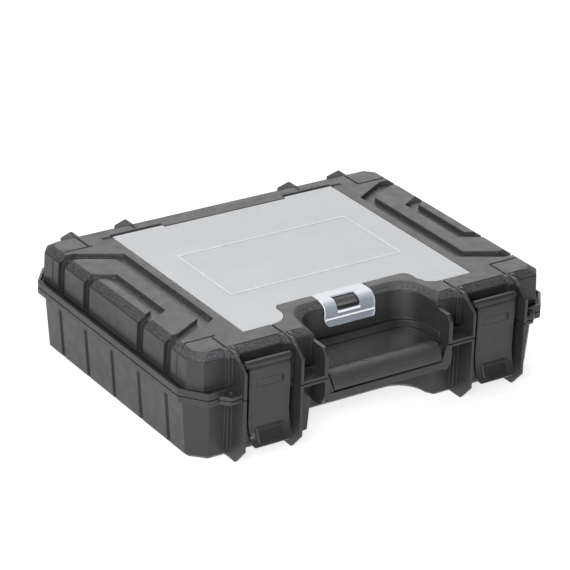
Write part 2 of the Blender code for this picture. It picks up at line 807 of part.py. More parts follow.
def groove_prisms(name, wide, depth, low, high):
    """Upright prisms along the base's sides, which follow the slope of its walls at a depth."""
    bm = bmesh.new()
    for y in GROOVE_Y:
        for side in (-1, 1):
            outline = [
                (side * FAR, low),
                (side * (BASE_HEEL.half_x - depth), low),
                (side * (BASE_TOP.half_x - depth), high),
                (side * FAR, high),
            ]
            add_prism(bm, outline, "Y", y - wide / 2, y + wide / 2)
    return tool(name, bm)


def base_hollow():
    """The base's inside, less the ribs behind the side grooves."""
    bm = bmesh.new()
    add_loft(bm, base_sections(BASE_WALL, SPLIT_Z + 5))
    hollow = tool("base_hollow", bm)
    top = BASE_FLANGE_BOTTOM - 2.0
    backs = groove_prisms("base_groove_backs", GROOVE_BACK_WIDE, GROOVE_BACK_DEPTH, -1.0, top)
    cut(hollow, backs)
    return hollow


def build_base(where, black):
    """The base: its shell, flange, fins, handle and hinge knuckles."""
    high = SPLIT_Z - GAP
    bm = bmesh.new()
    add_loft(bm, base_sections(0.0, high))
    base = mesh_object("base_shell", bm, where, black)
    bm = bmesh.new()
    add_prism(bm, FLANGE.points(), "Z", BASE_FLANGE_BOTTOM, high)
    join(base, tool("base_flange", bm))
    for addition in base_additions():
        join(base, addition)
    top = BASE_FLANGE_BOTTOM - 4.6
    cut(base, groove_prisms("base_side_grooves", GROOVE_WIDE, GROOVE_DEPTH, 0.5, top))
    cut(base, base_hollow())
    bm = bmesh.new()
    for side in (-1, 1):
        x = side * LATCH_X
        add_rod(bm, HINGE_AXIS, BORE_R, x - 25, x + 25, segments=16)
    cut(base, tool("base_knuckle_bores", bm))
    cut(base, padlock_holes("base", BASE_FLANGE_BOTTOM - 5, SPLIT_Z + 5))
    return base


# The grip, the latches and the pins


def build_grip(where, rubber):
    """The rounded bar that the fingers close on, with slanted ends and a lug at each."""
    low, high = GRIP_Z
    front, back = -HANDLE_Y + 0.4, -135.0
    profile = [(front, low), (front, low + 3.5)]
    profile += arc((front + 12.0, high - 10.5), 11.0, 160, 60, 5)
    profile += arc((back - 7.0, high - 9.0), 7.5, 70, 0, 3)
    profile += [(back + 0.5, low + 3.0), (back - 2.5, low)]
    bm = bmesh.new()
    add_prism(bm, profile, "X", -62.0, 62.0)
    grip = mesh_object("handle_grip", bm, where, rubber)
    bm = bmesh.new()
    foot, head = 56.7, 58.5
    ends = [(foot, low - 1), (head, high + 2), (-head, high + 2), (-foot, low - 1)]
    add_prism(bm, ends, "Y", -170.0, -120.0)
    combine(grip, tool("grip_ends", bm), "INTERSECT")
    bm = bmesh.new()
    for lo, hi in both_sides((45.0, CHEEK_X[0] - GAP)):
        add_box(bm, (lo, -153.5, low + 3.0), (hi, -145.6, high - 3.0))
    join(grip, tool("grip_lugs", bm))
    return grip


def latch_profile():
    """The latch's outer and inner line in (y, z), from its barrel down to the curled end."""
    axis_y, axis_z = LATCH_AXIS
    outer = [(axis_y - BARREL_R, axis_z), (-152.9, 72.0), (-152.3, 42.0)]
    outer += [(-153.6, 32.0), (-156.6, 23.5), (-160.4, 17.0)]
    inner = [(-158.1, 14.9), (-154.0, 22.0), (-150.8, 31.0)]
    inner += [(-149.3, 42.0), (-149.7, 72.0), (axis_y - 1.5, axis_z)]
    return outer + inner


def build_latch(name, x, where, black):
    """One latch: a plate that hangs from its barrel and curls out at its lower end."""
    bm = bmesh.new()
    add_prism(bm, latch_profile(), "X", x - LATCH_HALF, x + LATCH_HALF)
    latch = mesh_object(name, bm, where, black)

    bm = bmesh.new()
    corner, low, spare = 8.0, 14.5, 0.5
    right = arc((LATCH_HALF - corner, low + corner), corner, -90, 0, 4)
    right += [(LATCH_HALF + spare, 30.0), (LATCH_HALF + spare, 100.0)]
    outline = [(x + a, b) for a, b in right + mirrored(right)[::-1]]
    add_prism(bm, outline, "Y", -170.0, -140.0)
    combine(latch, tool(name + "_front_view", bm), "INTERSECT")

    bm = bmesh.new()
    add_rod(bm, LATCH_AXIS, BARREL_R, x - LATCH_HALF, x + LATCH_HALF)
    join(latch, tool(name + "_barrel", bm))

    bm = bmesh.new()
    pad = [(-152.6, 37.5), (-154.6, 36.5), (-155.0, 31.5), (-157.6, 24.0)]
    pad += [(-160.9, 18.4), (-158.0, 18.0), (-152.6, 28.0)]
    add_prism(bm, pad, "X", x - 14.0, x + 14.0)
    join(latch, tool(name + "_thumb_pad", bm))

    bm = bmesh.new()
    add_rod(bm, LATCH_AXIS, BORE_R, x - LATCH_HALF - 5, x + LATCH_HALF + 5, segments=16)
    cut(latch, tool(name + "_bore", bm))
    move_origin(latch, (x, *LATCH_AXIS))


def build_pin(name, x, axis, where, steel):
    """A pin between an outer and an inner fin, with its ends in both."""
    half = (abs(FIN_X[0]) - abs(FIN_X[1])) / 2 - FIN_THICK / 2 + PIN_DEPTH - GAP
    bm = bmesh.new()
    middle = math.copysign((abs(FIN_X[0]) + abs(FIN_X[1])) / 2, x)
    add_rod(bm, axis, PIN_R, middle - half, middle + half, segments=16)
    pin = mesh_object(name, bm, where, steel)
    move_origin(pin, (middle, *axis))


def smooth(obj):
    """Smooth shading, with sharp edges kept."""
    obj.data.shade_smooth()
    obj.data.set_sharp_from_angle(angle=math.radians(30))


for old in list(bpy.data.objects):
    bpy.data.objects.remove(old)

PARTS = collection("tool_case")
TOOLS = collection("cutters", hidden=True)


def main():
    """Makes every piece of the case."""
    black = plastic("black_plastic", (0.045, 0.045, 0.047), 0.5)
    soft = plastic("soft_black", (0.05, 0.05, 0.052), 0.6)
    milky = plastic("milky_clear", (0.8, 0.82, 0.84), 0.3, transmission=0.6)
    natural = plastic("natural_plastic", (0.72, 0.74, 0.75), 0.4)
    steel = plastic("pin_steel", (0.03, 0.03, 0.03), 0.35)

    build_base(PARTS, black)
    build_lid(PARTS, black)
    build_grip(PARTS, soft)
    build_cover(PARTS, milky)
    build_tray(PARTS, natural)
    build_dividers(PARTS, natural)
    for side, x in (("left", -LATCH_X), ("right", LATCH_X)):
        build_latch(f"latch_{side}", x, PARTS, black)
        build_pin(f"latch_pin_{side}", x, LATCH_AXIS, PARTS, steel)
        build_pin(f"hinge_pin_{side}", x, HINGE_AXIS, PARTS, steel)
    for made in PARTS.objects:
        smooth(made)


main()
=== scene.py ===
"""Finishes a hard tool case with an organiser in its lid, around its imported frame.

Frame: +X to the right along the front, +Y to the back, +Z up, on the floor. The numbers in
outlines are millimetres, and Blender gets metres.
"""

import json
import math

import bpy
from mathutils import Matrix, Vector

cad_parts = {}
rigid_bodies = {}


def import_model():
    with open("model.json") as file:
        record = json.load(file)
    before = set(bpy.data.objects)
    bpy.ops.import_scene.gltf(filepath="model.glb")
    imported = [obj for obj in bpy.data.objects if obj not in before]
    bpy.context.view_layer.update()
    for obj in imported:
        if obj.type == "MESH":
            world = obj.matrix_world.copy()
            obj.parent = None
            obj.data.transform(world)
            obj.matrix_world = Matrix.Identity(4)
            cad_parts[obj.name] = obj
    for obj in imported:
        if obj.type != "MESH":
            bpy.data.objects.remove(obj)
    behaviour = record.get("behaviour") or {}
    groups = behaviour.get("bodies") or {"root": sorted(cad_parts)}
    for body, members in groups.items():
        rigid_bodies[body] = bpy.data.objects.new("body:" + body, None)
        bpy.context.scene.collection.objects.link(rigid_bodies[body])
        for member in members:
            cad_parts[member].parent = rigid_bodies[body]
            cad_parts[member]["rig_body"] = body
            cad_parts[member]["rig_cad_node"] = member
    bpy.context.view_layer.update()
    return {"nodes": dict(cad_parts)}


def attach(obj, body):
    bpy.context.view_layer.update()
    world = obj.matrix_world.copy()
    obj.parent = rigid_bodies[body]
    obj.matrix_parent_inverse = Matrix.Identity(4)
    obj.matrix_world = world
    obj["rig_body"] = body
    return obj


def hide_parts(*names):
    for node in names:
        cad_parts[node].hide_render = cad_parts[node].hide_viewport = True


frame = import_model()

bl_info = {
    "name": "Tool case with organiser",
    "version": (1, 0, 0),
    "blender": (4, 5, 0),
    "location": "3D View > Sidebar > Tool case",
    "description": "Finishes a hard tool case with an organiser under a clear cover",
    "category": "Object",
}

MM = 0.001

# Case
SHOULDER_Z = (96.9, 101.6)  # the grained band round the lid's top
SPARKLE_SPECK_GAIN = 3.4  # how much lighter the band's specks are, as painted sparkle of the coarse grain

# Latches
LATCH_X = 119.4
LATCH_HALF = 20.5
LATCH_AXIS = (-148.0, 91.0)
LATCH_ROLL_R = 3.3
LATCH_ROLL_HALF = 23.0
LATCH_BORE_R = 2.05
LATCH_CORNER = 8.0
PAD_X = (-14.0, 14.0)
PAD_FRAME = 2.3
PAD_TOP = 32.8
PAD_RECESS = 1.3
PANEL = ((-13.5, 70.2), (14.2, 77.2))  # the thin outline on a latch, from its middle
PANEL_LINE = (0.35, 0.3)  # width and depth
PANEL_FACE = -152.92

# Grip
GRIP_FRONT = -159.2
GRIP_BACK = -135.0
GRIP_Z = (50.1, 64.4)
GRIP_HALF = (56.7, 58.5)
GRIP_LUG = ((-153.5, 53.1), (-145.6, 61.4))
GRIP_LUG_END = 63.2
GRIP_ROLL = (-147.2, 53.9, 11.0)  # y and z of the front roll's middle, and its radius
GRIP_REACH = 62.0  # past both slanted ends
DIMPLE_TURNS = (163.0, 128.0, 93.0)  # where each row lies round the roll, in degrees
DIMPLE_LIFT = 0.45  # how far a dimple's ball stands off the roll

# Organiser cover
COVER_HALF_X = 120.0
COVER_Y = (-110.0, 109.5)
COVER_Z = (100.3, 102.0)
COVER_NOTCH = (71.5, -80.0, 9.0)
COVER_FLARE = (88.0, -93.3, 16.5)
HINGE_X = (67.0, 119.5)
HINGE_AXIS = (113.4, 98.8)
TAB_X = (-30.0, 22.5)
TAB_EDGE = -102.6
TAB_BEND_R = 10.0
TAB_THICK = 1.8
TAB_CREASE_Z = 87.0
TAB_LOW = 81.0
TAB_CORNER = 6.0
TAB_MILKY_Y = (-95.0, -101.5)  # where the bend is milky, and where the tab is clear
SLOT_X = (-17.5, 7.2)
SLOT_LOW = 93.2
SLOT_CORNER = 2.6
BARREL_R = 2.2
TRUNNION_R = 1.4
TRUNNION_END = 128.0
LABEL_FRAME = (90.7, -43.6, 47.6)
NUB_X = (-16.5, 6.2)
NUB_Z = (93.4, 97.2)
NUB_FRONT = -100.3
NUB_RIBS = 4

# Camera and lights
CAMERA_TARGET = (0.018016, 0.034305, 0.0537)
CAMERA_TURN = (-33.82, 25.27, 1.83)  # azimuth, elevation and roll, in degrees
CAMERA_DISTANCE = 2.5545
CAMERA_LENS = 174.6


# Outlines


def arc(centre, radius, start, end, steps):
    """Points on an arc, with its angles in degrees."""
    turns = [math.radians(start + (end - start) * i / steps) for i in range(steps + 1)]
    return [(centre[0] + radius * math.cos(a), centre[1] + radius * math.sin(a)) for a in turns]


def mirrored(points):
    """The points seen in a mirror at the middle of the case."""
    return [(-a, b) for a, b in points]


def placed(axis, across, along):
    """The 3D point, in metres, for a point of an outline across an axis."""
    a, b = across
    return MM * Vector({"X": (along, a, b), "Y": (a, along, b), "Z": (a, b, along)}[axis])


# Modelling steps


def deselect():
    """Leaves edit mode and deselects everything."""
    if bpy.context.mode != "OBJECT":
        bpy.ops.object.mode_set(mode="OBJECT")
    bpy.ops.object.select_all(action="DESELECT")


def only(obj):
    """Makes one object the selected and active one."""
    deselect()
    obj.select_set(True)
    bpy.context.view_layer.objects.active = obj


def trace(name, points):
    """Draws a flat face by extruding one vertex from each point of its outline to the next."""
    deselect()
    bpy.ops.mesh.primitive_plane_add(size=MM, location=points[0])
    made = bpy.context.object
    made.name = made.data.name = name
    bpy.ops.object.mode_set(mode="EDIT")
    bpy.ops.mesh.select_mode(type="VERT")
    bpy.ops.mesh.select_all(action="SELECT")
    bpy.ops.mesh.merge(type="CENTER")
    for here, there in zip(points, points[1:]):
        bpy.ops.mesh.extrude_vertices_move(TRANSFORM_OT_translate={"value": there - here})
    bpy.ops.mesh.select_all(action="SELECT")
    bpy.ops.mesh.edge_face_add()
    bpy.ops.object.mode_set(mode="OBJECT")
    return made


def prism(name, outline, axis, low, high):
    """A solid with this outline across an axis, from one place on the axis to another."""
    made = trace(name, [placed(axis, point, low) for point in outline])
    bpy.ops.object.mode_set(mode="EDIT")
    bpy.ops.mesh.select_all(action="SELECT")
    push = placed(axis, (0.0, 0.0), high - low)
    bpy.ops.mesh.extrude_region_move(TRANSFORM_OT_translate={"value": push})
    bpy.ops.mesh.select_all(action="SELECT")
    bpy.ops.mesh.normals_make_consistent(inside=False)
    bpy.ops.object.mode_set(mode="OBJECT")
    bpy.ops.object.transform_apply(location=True, rotation=True, scale=True)
    return made


def block(name, low, high):
    """A box between two corners, in millimetres."""
    outline = [(low[0], low[1]), (high[0], low[1]), (high[0], high[1]), (low[0], high[1])]
    return prism(name, outline, "Z", low[2], high[2])


def rod(name, centre, radius, low, high, vertices=40):
    """A round bar along X."""
    deselect()
    bpy.ops.mesh.primitive_cylinder_add(
        vertices=vertices,
        radius=radius * MM,
        depth=(high - low) * MM,
        location=placed("X", centre, (low + high) / 2),
        rotation=(0.0, math.pi / 2, 0.0),
    )
    made = bpy.context.object
    made.name = made.data.name = name
    bpy.ops.object.transform_apply(location=True, rotation=True, scale=True)
    return made


def apply(obj, modifier):
    """Applies a modifier to its object."""
    only(obj)
    bpy.ops.object.modifier_apply(modifier=modifier.name)


def combine(target, other, operation):
    """Joins, cuts or intersects the target with another object, which is used up."""
    modifier = target.modifiers.new(operation.lower(), "BOOLEAN")
    modifier.operation = operation
    modifier.solver = "EXACT"
    modifier.object = other
    apply(target, modifier)
    only(other)
    bpy.ops.object.delete()
    if not target.data.polygons:
        raise RuntimeError(f"nothing is left of {target.name}")
    return target


def merge(objects):
    """Joins separate shapes into one object."""
    only(objects[0])
    for obj in objects[1:]:
        obj.select_set(True)
    bpy.ops.object.join()
    return bpy.context.object


def soften(obj, width, segments=2, angle=30.0, material=-1):
    """Rounds the edges that are sharper than an angle."""
    modifier = obj.modifiers.new("soft_edges", "BEVEL")
    modifier.width = width * MM
    modifier.segments = segments
    modifier.limit_method = "ANGLE"
    modifier.angle_limit = math.radians(angle)
    modifier.material = material
    apply(obj, modifier)
    return obj


def finish_piece(obj, body, materials, stands_for=()):
    """Shades a piece, gives it its finish, says what it rides on and hides the parts it stands for.
    """
    only(obj)
    bpy.ops.object.mode_set(mode="EDIT")
    bpy.ops.mesh.select_all(action="SELECT")
    bpy.ops.mesh.remove_doubles(threshold=0.002 * MM)
    bpy.ops.object.mode_set(mode="OBJECT")
    bpy.ops.object.shade_smooth_by_angle(angle=math.radians(50.0))
    modifier = obj.modifiers.new("flat_faces", "WEIGHTED_NORMAL")
    modifier.weight = 100
    modifier.keep_sharp = True
    apply(obj, modifier)
    kept = [face.material_index for face in obj.data.polygons]
    obj.data.materials.clear()
    for material in materials:
        obj.data.materials.append(material)
    obj.data.polygons.foreach_set("material_index", kept)
    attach(obj, body)
    if stands_for:
        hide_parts(*stands_for)
    return obj


# Finishes


class Finish:
    """A node material, with short ways to add what a moulded plastic needs."""

    def __init__(self, name):
        self.material = bpy.data.materials.new(name)
        self.material.use_nodes = True
        self.tree = self.material.node_tree
        self.shader = self.tree.nodes["Principled BSDF"]
        self.place = self.tree.nodes.new("ShaderNodeTexCoord").outputs["Object"]

    def set(self, **values):
        """Sets the shader's own sockets."""
        for name, value in values.items():
            self.shader.inputs[name.replace("_", " ")].default_value = value

    def node(self, kind, **inputs):
        """Adds a node with these values on its inputs."""
        made = self.tree.nodes.new(kind)
        for name, value in inputs.items():
            made.inputs[name].default_value = value
        return made

    def link(self, output, socket):
        """Joins an output to an input."""
        self.tree.links.new(output, socket)

    def place_parts(self):
        """The X, Y and Z of the place on the object."""
        split = self.node("ShaderNodeSeparateXYZ")
        self.link(self.place, split.inputs["Vector"])
        return split.outputs

    def blend(self, share, first, second):
        """A mix of two colours, where each is a colour or the output of a node."""
        made = self.node("ShaderNodeMix")
        made.data_type = "RGBA"
        for socket, colour in (("A", first), ("B", second)):
            if isinstance(colour, bpy.types.NodeSocket):
                self.link(colour, made.inputs[socket])
            else:
                made.inputs[socket].default_value = (*colour, 1.0)
        self.link(share, made.inputs["Factor"])
        self.link(made.outputs["Result"], self.shader.inputs["Base Color"])
        return made.outputs["Result"]

    def noise(self, scale, detail=2.0):
        """A noise pattern on the object's own coordinates."""
        made = self.node("ShaderNodeTexNoise", Scale=scale, Detail=detail)
        self.link(self.place, made.inputs["Vector"])
        return made.outputs["Fac"]

    def ranged(self, value, low, high, out_low, out_high):
        """Maps a value from one range to another, and stays inside it."""
        made = self.tree.nodes.new("ShaderNodeMapRange")
        numbers = (low, high, out_low, out_high)
        names = ("From Min", "From Max", "To Min", "To Max")
        for name, number in zip(names, numbers):
            made.inputs[name].default_value = number
        self.link(value, made.inputs["Value"])
        return made.outputs["Result"]

    def times(self, first, second):
        """The product of two values."""
        made = self.tree.nodes.new("ShaderNodeMath")
        made.operation = "MULTIPLY"
        self.link(first, made.inputs[0])
        self.link(second, made.inputs[1])
        return made.outputs[0]

    def mottle(self, colour, spread, scale):
        """A colour that varies a little over the surface."""
        share = self.ranged(self.noise(scale, 3.0), 0.3, 0.7, 0.0, 1.0)
        darker = [c * (1.0 - spread) for c in colour]
        return self.blend(share, darker, [min(1.0, c * (1.0 + spread)) for c in colour])

    def rough(self, low, high, scale):
        """A roughness that varies a little over the surface."""
        value = self.ranged(self.noise(scale), 0.3, 0.7, low, high)
        self.link(value, self.shader.inputs["Roughness"])

    def bump(self, height, strength, distance, below=None):
        """Adds a bump over the one below it."""
        made = self.node("ShaderNodeBump", Strength=strength, Distance=distance)
        self.link(height, made.inputs["Height"])
        if below is not None:
            self.link(below, made.inputs["Normal"])
        self.link(made.outputs["Normal"], self.shader.inputs["Normal"])
        return made.outputs["Normal"]


def case_plastic(name, colours, shoulder=False):
    """Black moulded plastic with a fine grain, and a coarse one on the lid's shoulder whose lighter
    specks are painted sparkle.
    """
    finish = Finish(name)
    plain = finish.mottle(colours.case, 0.12, 38.0)
    finish.rough(colours.case_roughness - 0.05, colours.case_roughness + 0.07, 90.0)
    fine = finish.bump(finish.noise(1500.0), colours.grain, 0.06 * MM)
    if shoulder:
        split = finish.place_parts()
        low, high = (z * MM for z in SHOULDER_Z)
        rise = finish.ranged(split["Z"], low, low + 0.3 * MM, 0.0, 1.0)
        fall = finish.ranged(split["Z"], high - 0.3 * MM, high, 1.0, 0.0)
        band = finish.times(rise, fall)
        grain = finish.noise(620.0, 3.0)
        finish.bump(finish.times(grain, band), 0.9, 0.35 * MM, fine)
        # The specks follow the coarse grain, and their lighter colour is painted sparkle: the band's
        # base colour is raised where the grain peaks.
        sparkle_specks = finish.times(finish.ranged(grain, 0.4, 0.62, 0.1, 1.0), band)
        finish.blend(sparkle_specks, plain, [c * SPARKLE_SPECK_GAIN for c in colours.case])
    return finish.material


def grip_plastic(colours):
    """The grip's softer, slightly greyer black."""
    finish = Finish("grip_soft_black")
    finish.mottle(colours.grip, 0.1, 60.0)
    finish.rough(0.42, 0.55, 120.0)
    finish.bump(finish.noise(1200.0), 0.2, 0.05 * MM)
    return finish.material


def clear_plastic(name, colour, opacity, roughness, frosted=0.1):
    """Milky or clear plastic with a faint frosting."""
    finish = Finish(name)
    finish.mottle(colour, 0.03, 30.0)
    finish.rough(roughness, roughness + 0.08, 160.0)
    finish.set(Alpha=opacity, IOR=1.49)
    finish.bump(finish.noise(700.0), frosted, 0.04 * MM)
    return finish.material


def tab_plastic(colours):
    """The cover's plastic on its tab: milky at the bend and clearer towards the lip."""
    finish = Finish("clear_tab")
    finish.rough(0.16, 0.24, 160.0)
    finish.set(IOR=1.49)
    split = finish.place_parts()
    start, end = (y * MM for y in TAB_MILKY_Y)
    alpha = finish.ranged(split["Y"], end, start, colours.tab_opacity, 0.85)
    finish.link(alpha, finish.shader.inputs["Alpha"])
    # The bend is whitened towards the rim's painted glow colour.
    whiter = finish.ranged(split["Y"], end, start, 0.0, 0.5)
    finish.blend(whiter, colours.tab, colours.rim)
    finish.bump(finish.noise(300.0), 0.1, 0.05 * MM)
    return finish.material


# Settings


class ToolCaseColours(bpy.types.PropertyGroup):
    """Colours and finishes of the case."""

    case: bpy.props.FloatVectorProperty(
        name="Case", description="Colour of the case's plastic",
        subtype="COLOR", min=0.0, max=1.0, default=(0.0175, 0.018, 0.019),
    )
    case_roughness: bpy.props.FloatProperty(
        name="Case roughness", description="How matt the case is",
        subtype="FACTOR", min=0.1, max=1.0, default=0.42,
    )
    grain: bpy.props.FloatProperty(
        name="Grain", description="Strength of the fine moulded grain",
        subtype="FACTOR", min=0.0, max=1.0, default=0.35,
    )
    grip: bpy.props.FloatVectorProperty(
        name="Grip", description="Colour of the handle's grip",
        subtype="COLOR", min=0.0, max=1.0, default=(0.03, 0.0305, 0.032),
    )
    cover: bpy.props.FloatVectorProperty(
        name="Cover", description="Colour of the organiser's cover",
        subtype="COLOR", min=0.0, max=1.0, default=(0.47, 0.48, 0.495),
    )
    cover_opacity: bpy.props.FloatProperty(
        name="Cover opacity", description="How much the milky cover hides",
        subtype="FACTOR", min=0.0, max=1.0, default=0.82,
    )
    # The rim colour is painted glow: a near white that stands in for the light the cover's edges
    # gather. The hinge barrels, the tab's bend and the label frame take it too.
    rim: bpy.props.FloatVectorProperty(
        name="Cover rim", description="Colour of the cover's edges, which gather light",
        subtype="COLOR", min=0.0, max=1.0, default=(0.86, 0.88, 0.9),
    )
    tab: bpy.props.FloatVectorProperty(
        name="Tab", description="Colour of the cover's tab",
        subtype="COLOR", min=0.0, max=1.0, default=(0.36, 0.4, 0.46),
    )
    tab_opacity: bpy.props.FloatProperty(
        name="Tab opacity", description="How much the clear tab hides",
        subtype="FACTOR", min=0.0, max=1.0, default=0.42,
    )
    tray: bpy.props.FloatVectorProperty(
        name="Tray", description="Colour of the organiser's tray and dividers",
        subtype="COLOR", min=0.0, max=1.0, default=(0.62, 0.63, 0.64),
    )
    pin: bpy.props.FloatVectorProperty(
        name="Pins", description="Colour of the blackened hinge pins",
        subtype="COLOR", min=0.0, max=1.0, default=(0.03, 0.03, 0.032),
    )


class ToolCaseSizes(bpy.types.PropertyGroup):
    """Sizes of the case's details."""

    edge: bpy.props.FloatProperty(
        name="Edge softness", description="Width of the rounding on the case's edges",
        subtype="DISTANCE", unit="LENGTH", min=0.0001, max=0.002, default=0.0006,
    )
    latch_edge: bpy.props.FloatProperty(
        name="Latch softness", description="Width of the rounding on a latch's edges",
        subtype="DISTANCE", unit="LENGTH", min=0.0001, max=0.0014, default=0.0008,
    )
    latch_ribs: bpy.props.IntProperty(
        name="Latch ribs", description="Ribs on each latch's thumb pad", min=2, max=9, default=7,
    )
    dimple: bpy.props.FloatProperty(
        name="Dimple", description="Radius of the grip's dimples",
        subtype="DISTANCE", unit="LENGTH", min=0.0004, max=0.002, default=0.0013,
    )
    dimple_step: bpy.props.FloatProperty(
        name="Dimple step", description="Distance between the dimples of a row",
        subtype="DISTANCE", unit="LENGTH", min=0.006, max=0.04, default=0.018,
    )
    # The rim's width is that of the bevel that gets the painted edge glow.
    rim: bpy.props.FloatProperty(
        name="Rim width", description="Width of the cover's bright edge",
        subtype="DISTANCE", unit="LENGTH", min=0.0002, max=0.0008, default=0.0006,
    )


class ToolCaseStage(bpy.types.PropertyGroup):
    """Light and floor."""

    floor: bpy.props.FloatVectorProperty(
        name="Floor", description="Colour of the floor",
        subtype="COLOR", min=0.0, max=1.0, default=(0.4, 0.4, 0.4),
    )
    sky: bpy.props.FloatProperty(
        name="Surroundings", description="Brightness of the room", min=0.0, max=4.0, default=0.27,
    )
    key: bpy.props.FloatProperty(
        name="Top light", description="Power of the large light above",
        subtype="POWER", unit="POWER", min=0.0, max=500.0, default=22.0,
    )
    rear: bpy.props.FloatProperty(
        name="Rear light", description="Power of the large light behind",
        subtype="POWER", unit="POWER", min=0.0, max=500.0, default=26.0,
    )
    front: bpy.props.FloatProperty(
        name="Front light", description="Power of the small light in front on the left",
        subtype="POWER", unit="POWER", min=0.0, max=500.0, default=12.0,
    )
    side: bpy.props.FloatProperty(
        name="Side light", description="Power of the light on the left",
        subtype="POWER", unit="POWER", min=0.0, max=500.0, default=10.0,
    )


# Pieces


def soft_shell(node, name, edge):
    """A copy of a shell with its doubled points merged and its edges rounded."""
    only(frame["nodes"][node])
    bpy.ops.object.duplicate()
    made = bpy.context.object
    bpy.ops.object.parent_clear(type="CLEAR_KEEP_TRANSFORM")
    made.name = made.data.name = name
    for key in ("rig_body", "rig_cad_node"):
        del made[key]
    bpy.ops.object.mode_set(mode="EDIT")
    bpy.ops.mesh.select_all(action="SELECT")
    bpy.ops.mesh.remove_doubles(threshold=0.002 * MM)
    flat = math.radians(0.05)
    bpy.ops.mesh.tris_convert_to_quads(face_threshold=flat, shape_threshold=math.pi)
    bpy.ops.mesh.customdata_custom_splitnormals_clear()
    bpy.ops.object.mode_set(mode="OBJECT")
    modifier = made.modifiers.new("soft_edges", "BEVEL")
    modifier.width = edge
    modifier.segments = 2
    modifier.limit_method = "ANGLE"
    modifier.angle_limit = math.radians(25.0)
    modifier.use_clamp_overlap = False
    apply(made, modifier)
    return made


def latch_side():
    """A latch from the side, as (y, z): its face, down to the curled end, and its back."""
    face = [(LATCH_AXIS[0] - LATCH_ROLL_R, LATCH_AXIS[1]), (-151.5, 89.0), (-151.25, 88.5)]
    face += [(-151.95, 87.6), (-152.5, 85.2), (-152.8, 80.0), (-152.95, 71.0)]
    face += [(-152.85, 60.0), (-152.5, 50.0)]
    face += [(-152.35, 43.0), (-152.65, 38.0), (-153.5, 32.5), (-154.9, 27.6)]
    face += [(-157.0, 22.8), (-160.4, 17.0)]
    back = [(-158.1, 14.9), (-154.0, 22.0), (-150.8, 31.0), (-149.3, 42.0)]
    return face + back + [(-149.7, 72.0), (LATCH_AXIS[0] - 1.5, LATCH_AXIS[1])]


def latch_pad(lift):
    """The thumb pad's face in (y, z), from top to bottom, at a depth below its surface."""
    line = [(-154.9, PAD_TOP - 1.1), (-155.6, 29.2), (-156.5, 26.6), (-157.9, 23.4), (-160.9, 18.4)]
    return [(y + lift, z + lift * 0.3) for y, z in line]


def along(line, share):
    """The point and the direction at a share of a line's length."""
    lengths = [math.dist(a, b) for a, b in zip(line, line[1:])]
    left = share * sum(lengths)
    for (a, b), length in zip(zip(line, line[1:]), lengths):
        if left <= length:
            way = ((b[0] - a[0]) / length, (b[1] - a[1]) / length)
            return (a[0] + way[0] * left, a[1] + way[1] * left), way
        left -= length
    return line[-1], way


def latch_ribs(x, count):
    """Thin level ribs inside the thumb pad's frame."""
    floor = latch_pad(PAD_RECESS)
    inner = (x + PAD_X[0] + PAD_FRAME - 0.3, x + PAD_X[1] - PAD_FRAME + 0.3)
    ribs = []
    for number in range(count):
        (y, z), (way_y, way_z) = along(floor, 0.2 + 0.74 * number / (count - 1))
        out_y, out_z = way_z, -way_y
        half, proud = 0.5, 0.95
        outline = [
            (y - way_y * half - out_y * 0.5, z - way_z * half - out_z * 0.5),
            (y - way_y * half * 0.6 + out_y * proud, z - way_z * half * 0.6 + out_z * proud),
            (y + way_y * half * 0.6 + out_y * proud, z + way_z * half * 0.6 + out_z * proud),
            (y + way_y * half - out_y * 0.5, z + way_z * half - out_z * 0.5),
        ]
        ribs.append(prism("rib", outline, "X", *inner))
    return merge(ribs)


def build_latch(name, x, sizes):
    """One latch: rolled top, panel lines, thumb pad with ribs and a curled end."""
    edge = sizes.latch_edge / MM
    latch = prism(name, latch_side(), "X", x - LATCH_HALF, x + LATCH_HALF)
    low, spare = 14.5, 0.5
    right = arc((LATCH_HALF - LATCH_CORNER, low + LATCH_CORNER), LATCH_CORNER, -90, 0, 8)
    right += [(LATCH_HALF + spare, 30.0), (LATCH_HALF + spare, 100.0)]
    outline = [(x + a, b) for a, b in right + mirrored(right)[::-1]]
    combine(latch, prism("front_view", outline, "Y", -170.0, -140.0), "INTERSECT")
    soften(latch, edge, 3, 40.0)

    roll = rod("roll", LATCH_AXIS, LATCH_ROLL_R, x - LATCH_ROLL_HALF, x + LATCH_ROLL_HALF)
    soften(roll, edge * 0.7, 3, 40.0)
    combine(latch, roll, "UNION")

    inner = [(-153.0, 25.0), (-152.0, PAD_TOP - 1.5)]
    outline = inner + [(-152.8, PAD_TOP + 0.6)] + latch_pad(0.0)
    pad = prism("pad", outline, "X", x + PAD_X[0], x + PAD_X[1])
    soften(pad, 0.9, 3, 40.0)
    combine(latch, pad, "UNION")

    floor = latch_pad(PAD_RECESS)
    top = PAD_TOP - 3.2
    recess = [(y, min(z, top)) for y, z in floor] + [(-166.0, floor[-1][1]), (-166.0, top)]
    sides = (x + PAD_X[0] + PAD_FRAME, x + PAD_X[1] - PAD_FRAME)
    combine(latch, prism("recess", recess, "X", *sides), "DIFFERENCE")
    combine(latch, latch_ribs(x, sizes.latch_ribs), "UNION")

    (wide, deep), face = PANEL_LINE, PANEL_FACE
    (left, low), (right, high) = PANEL
    left, right = x + left, x + right
    bars = [
        block("line", (left, face - 1.0, low), (right, face + deep, low + wide)),
        block("line", (left, face - 1.0, high), (right, face + deep, high + wide)),
        block("line", (left, face - 1.0, low), (left + wide, face + deep, high)),
        block("line", (right - wide, face - 1.0, low), (right, face + deep, high + wide)),
    ]
    for bar in bars:
        combine(latch, bar, "DIFFERENCE")
    slot = block("slot", (right - 2.0, face - 1.0, low + 1.0), (right - 0.8, face + 1.6, high - 0.6))
    combine(latch, slot, "DIFFERENCE")
    bore = rod("bore", LATCH_AXIS, LATCH_BORE_R, x - LATCH_HALF - 5, x + LATCH_HALF + 5, 24)
    return combine(latch, bore, "DIFFERENCE")


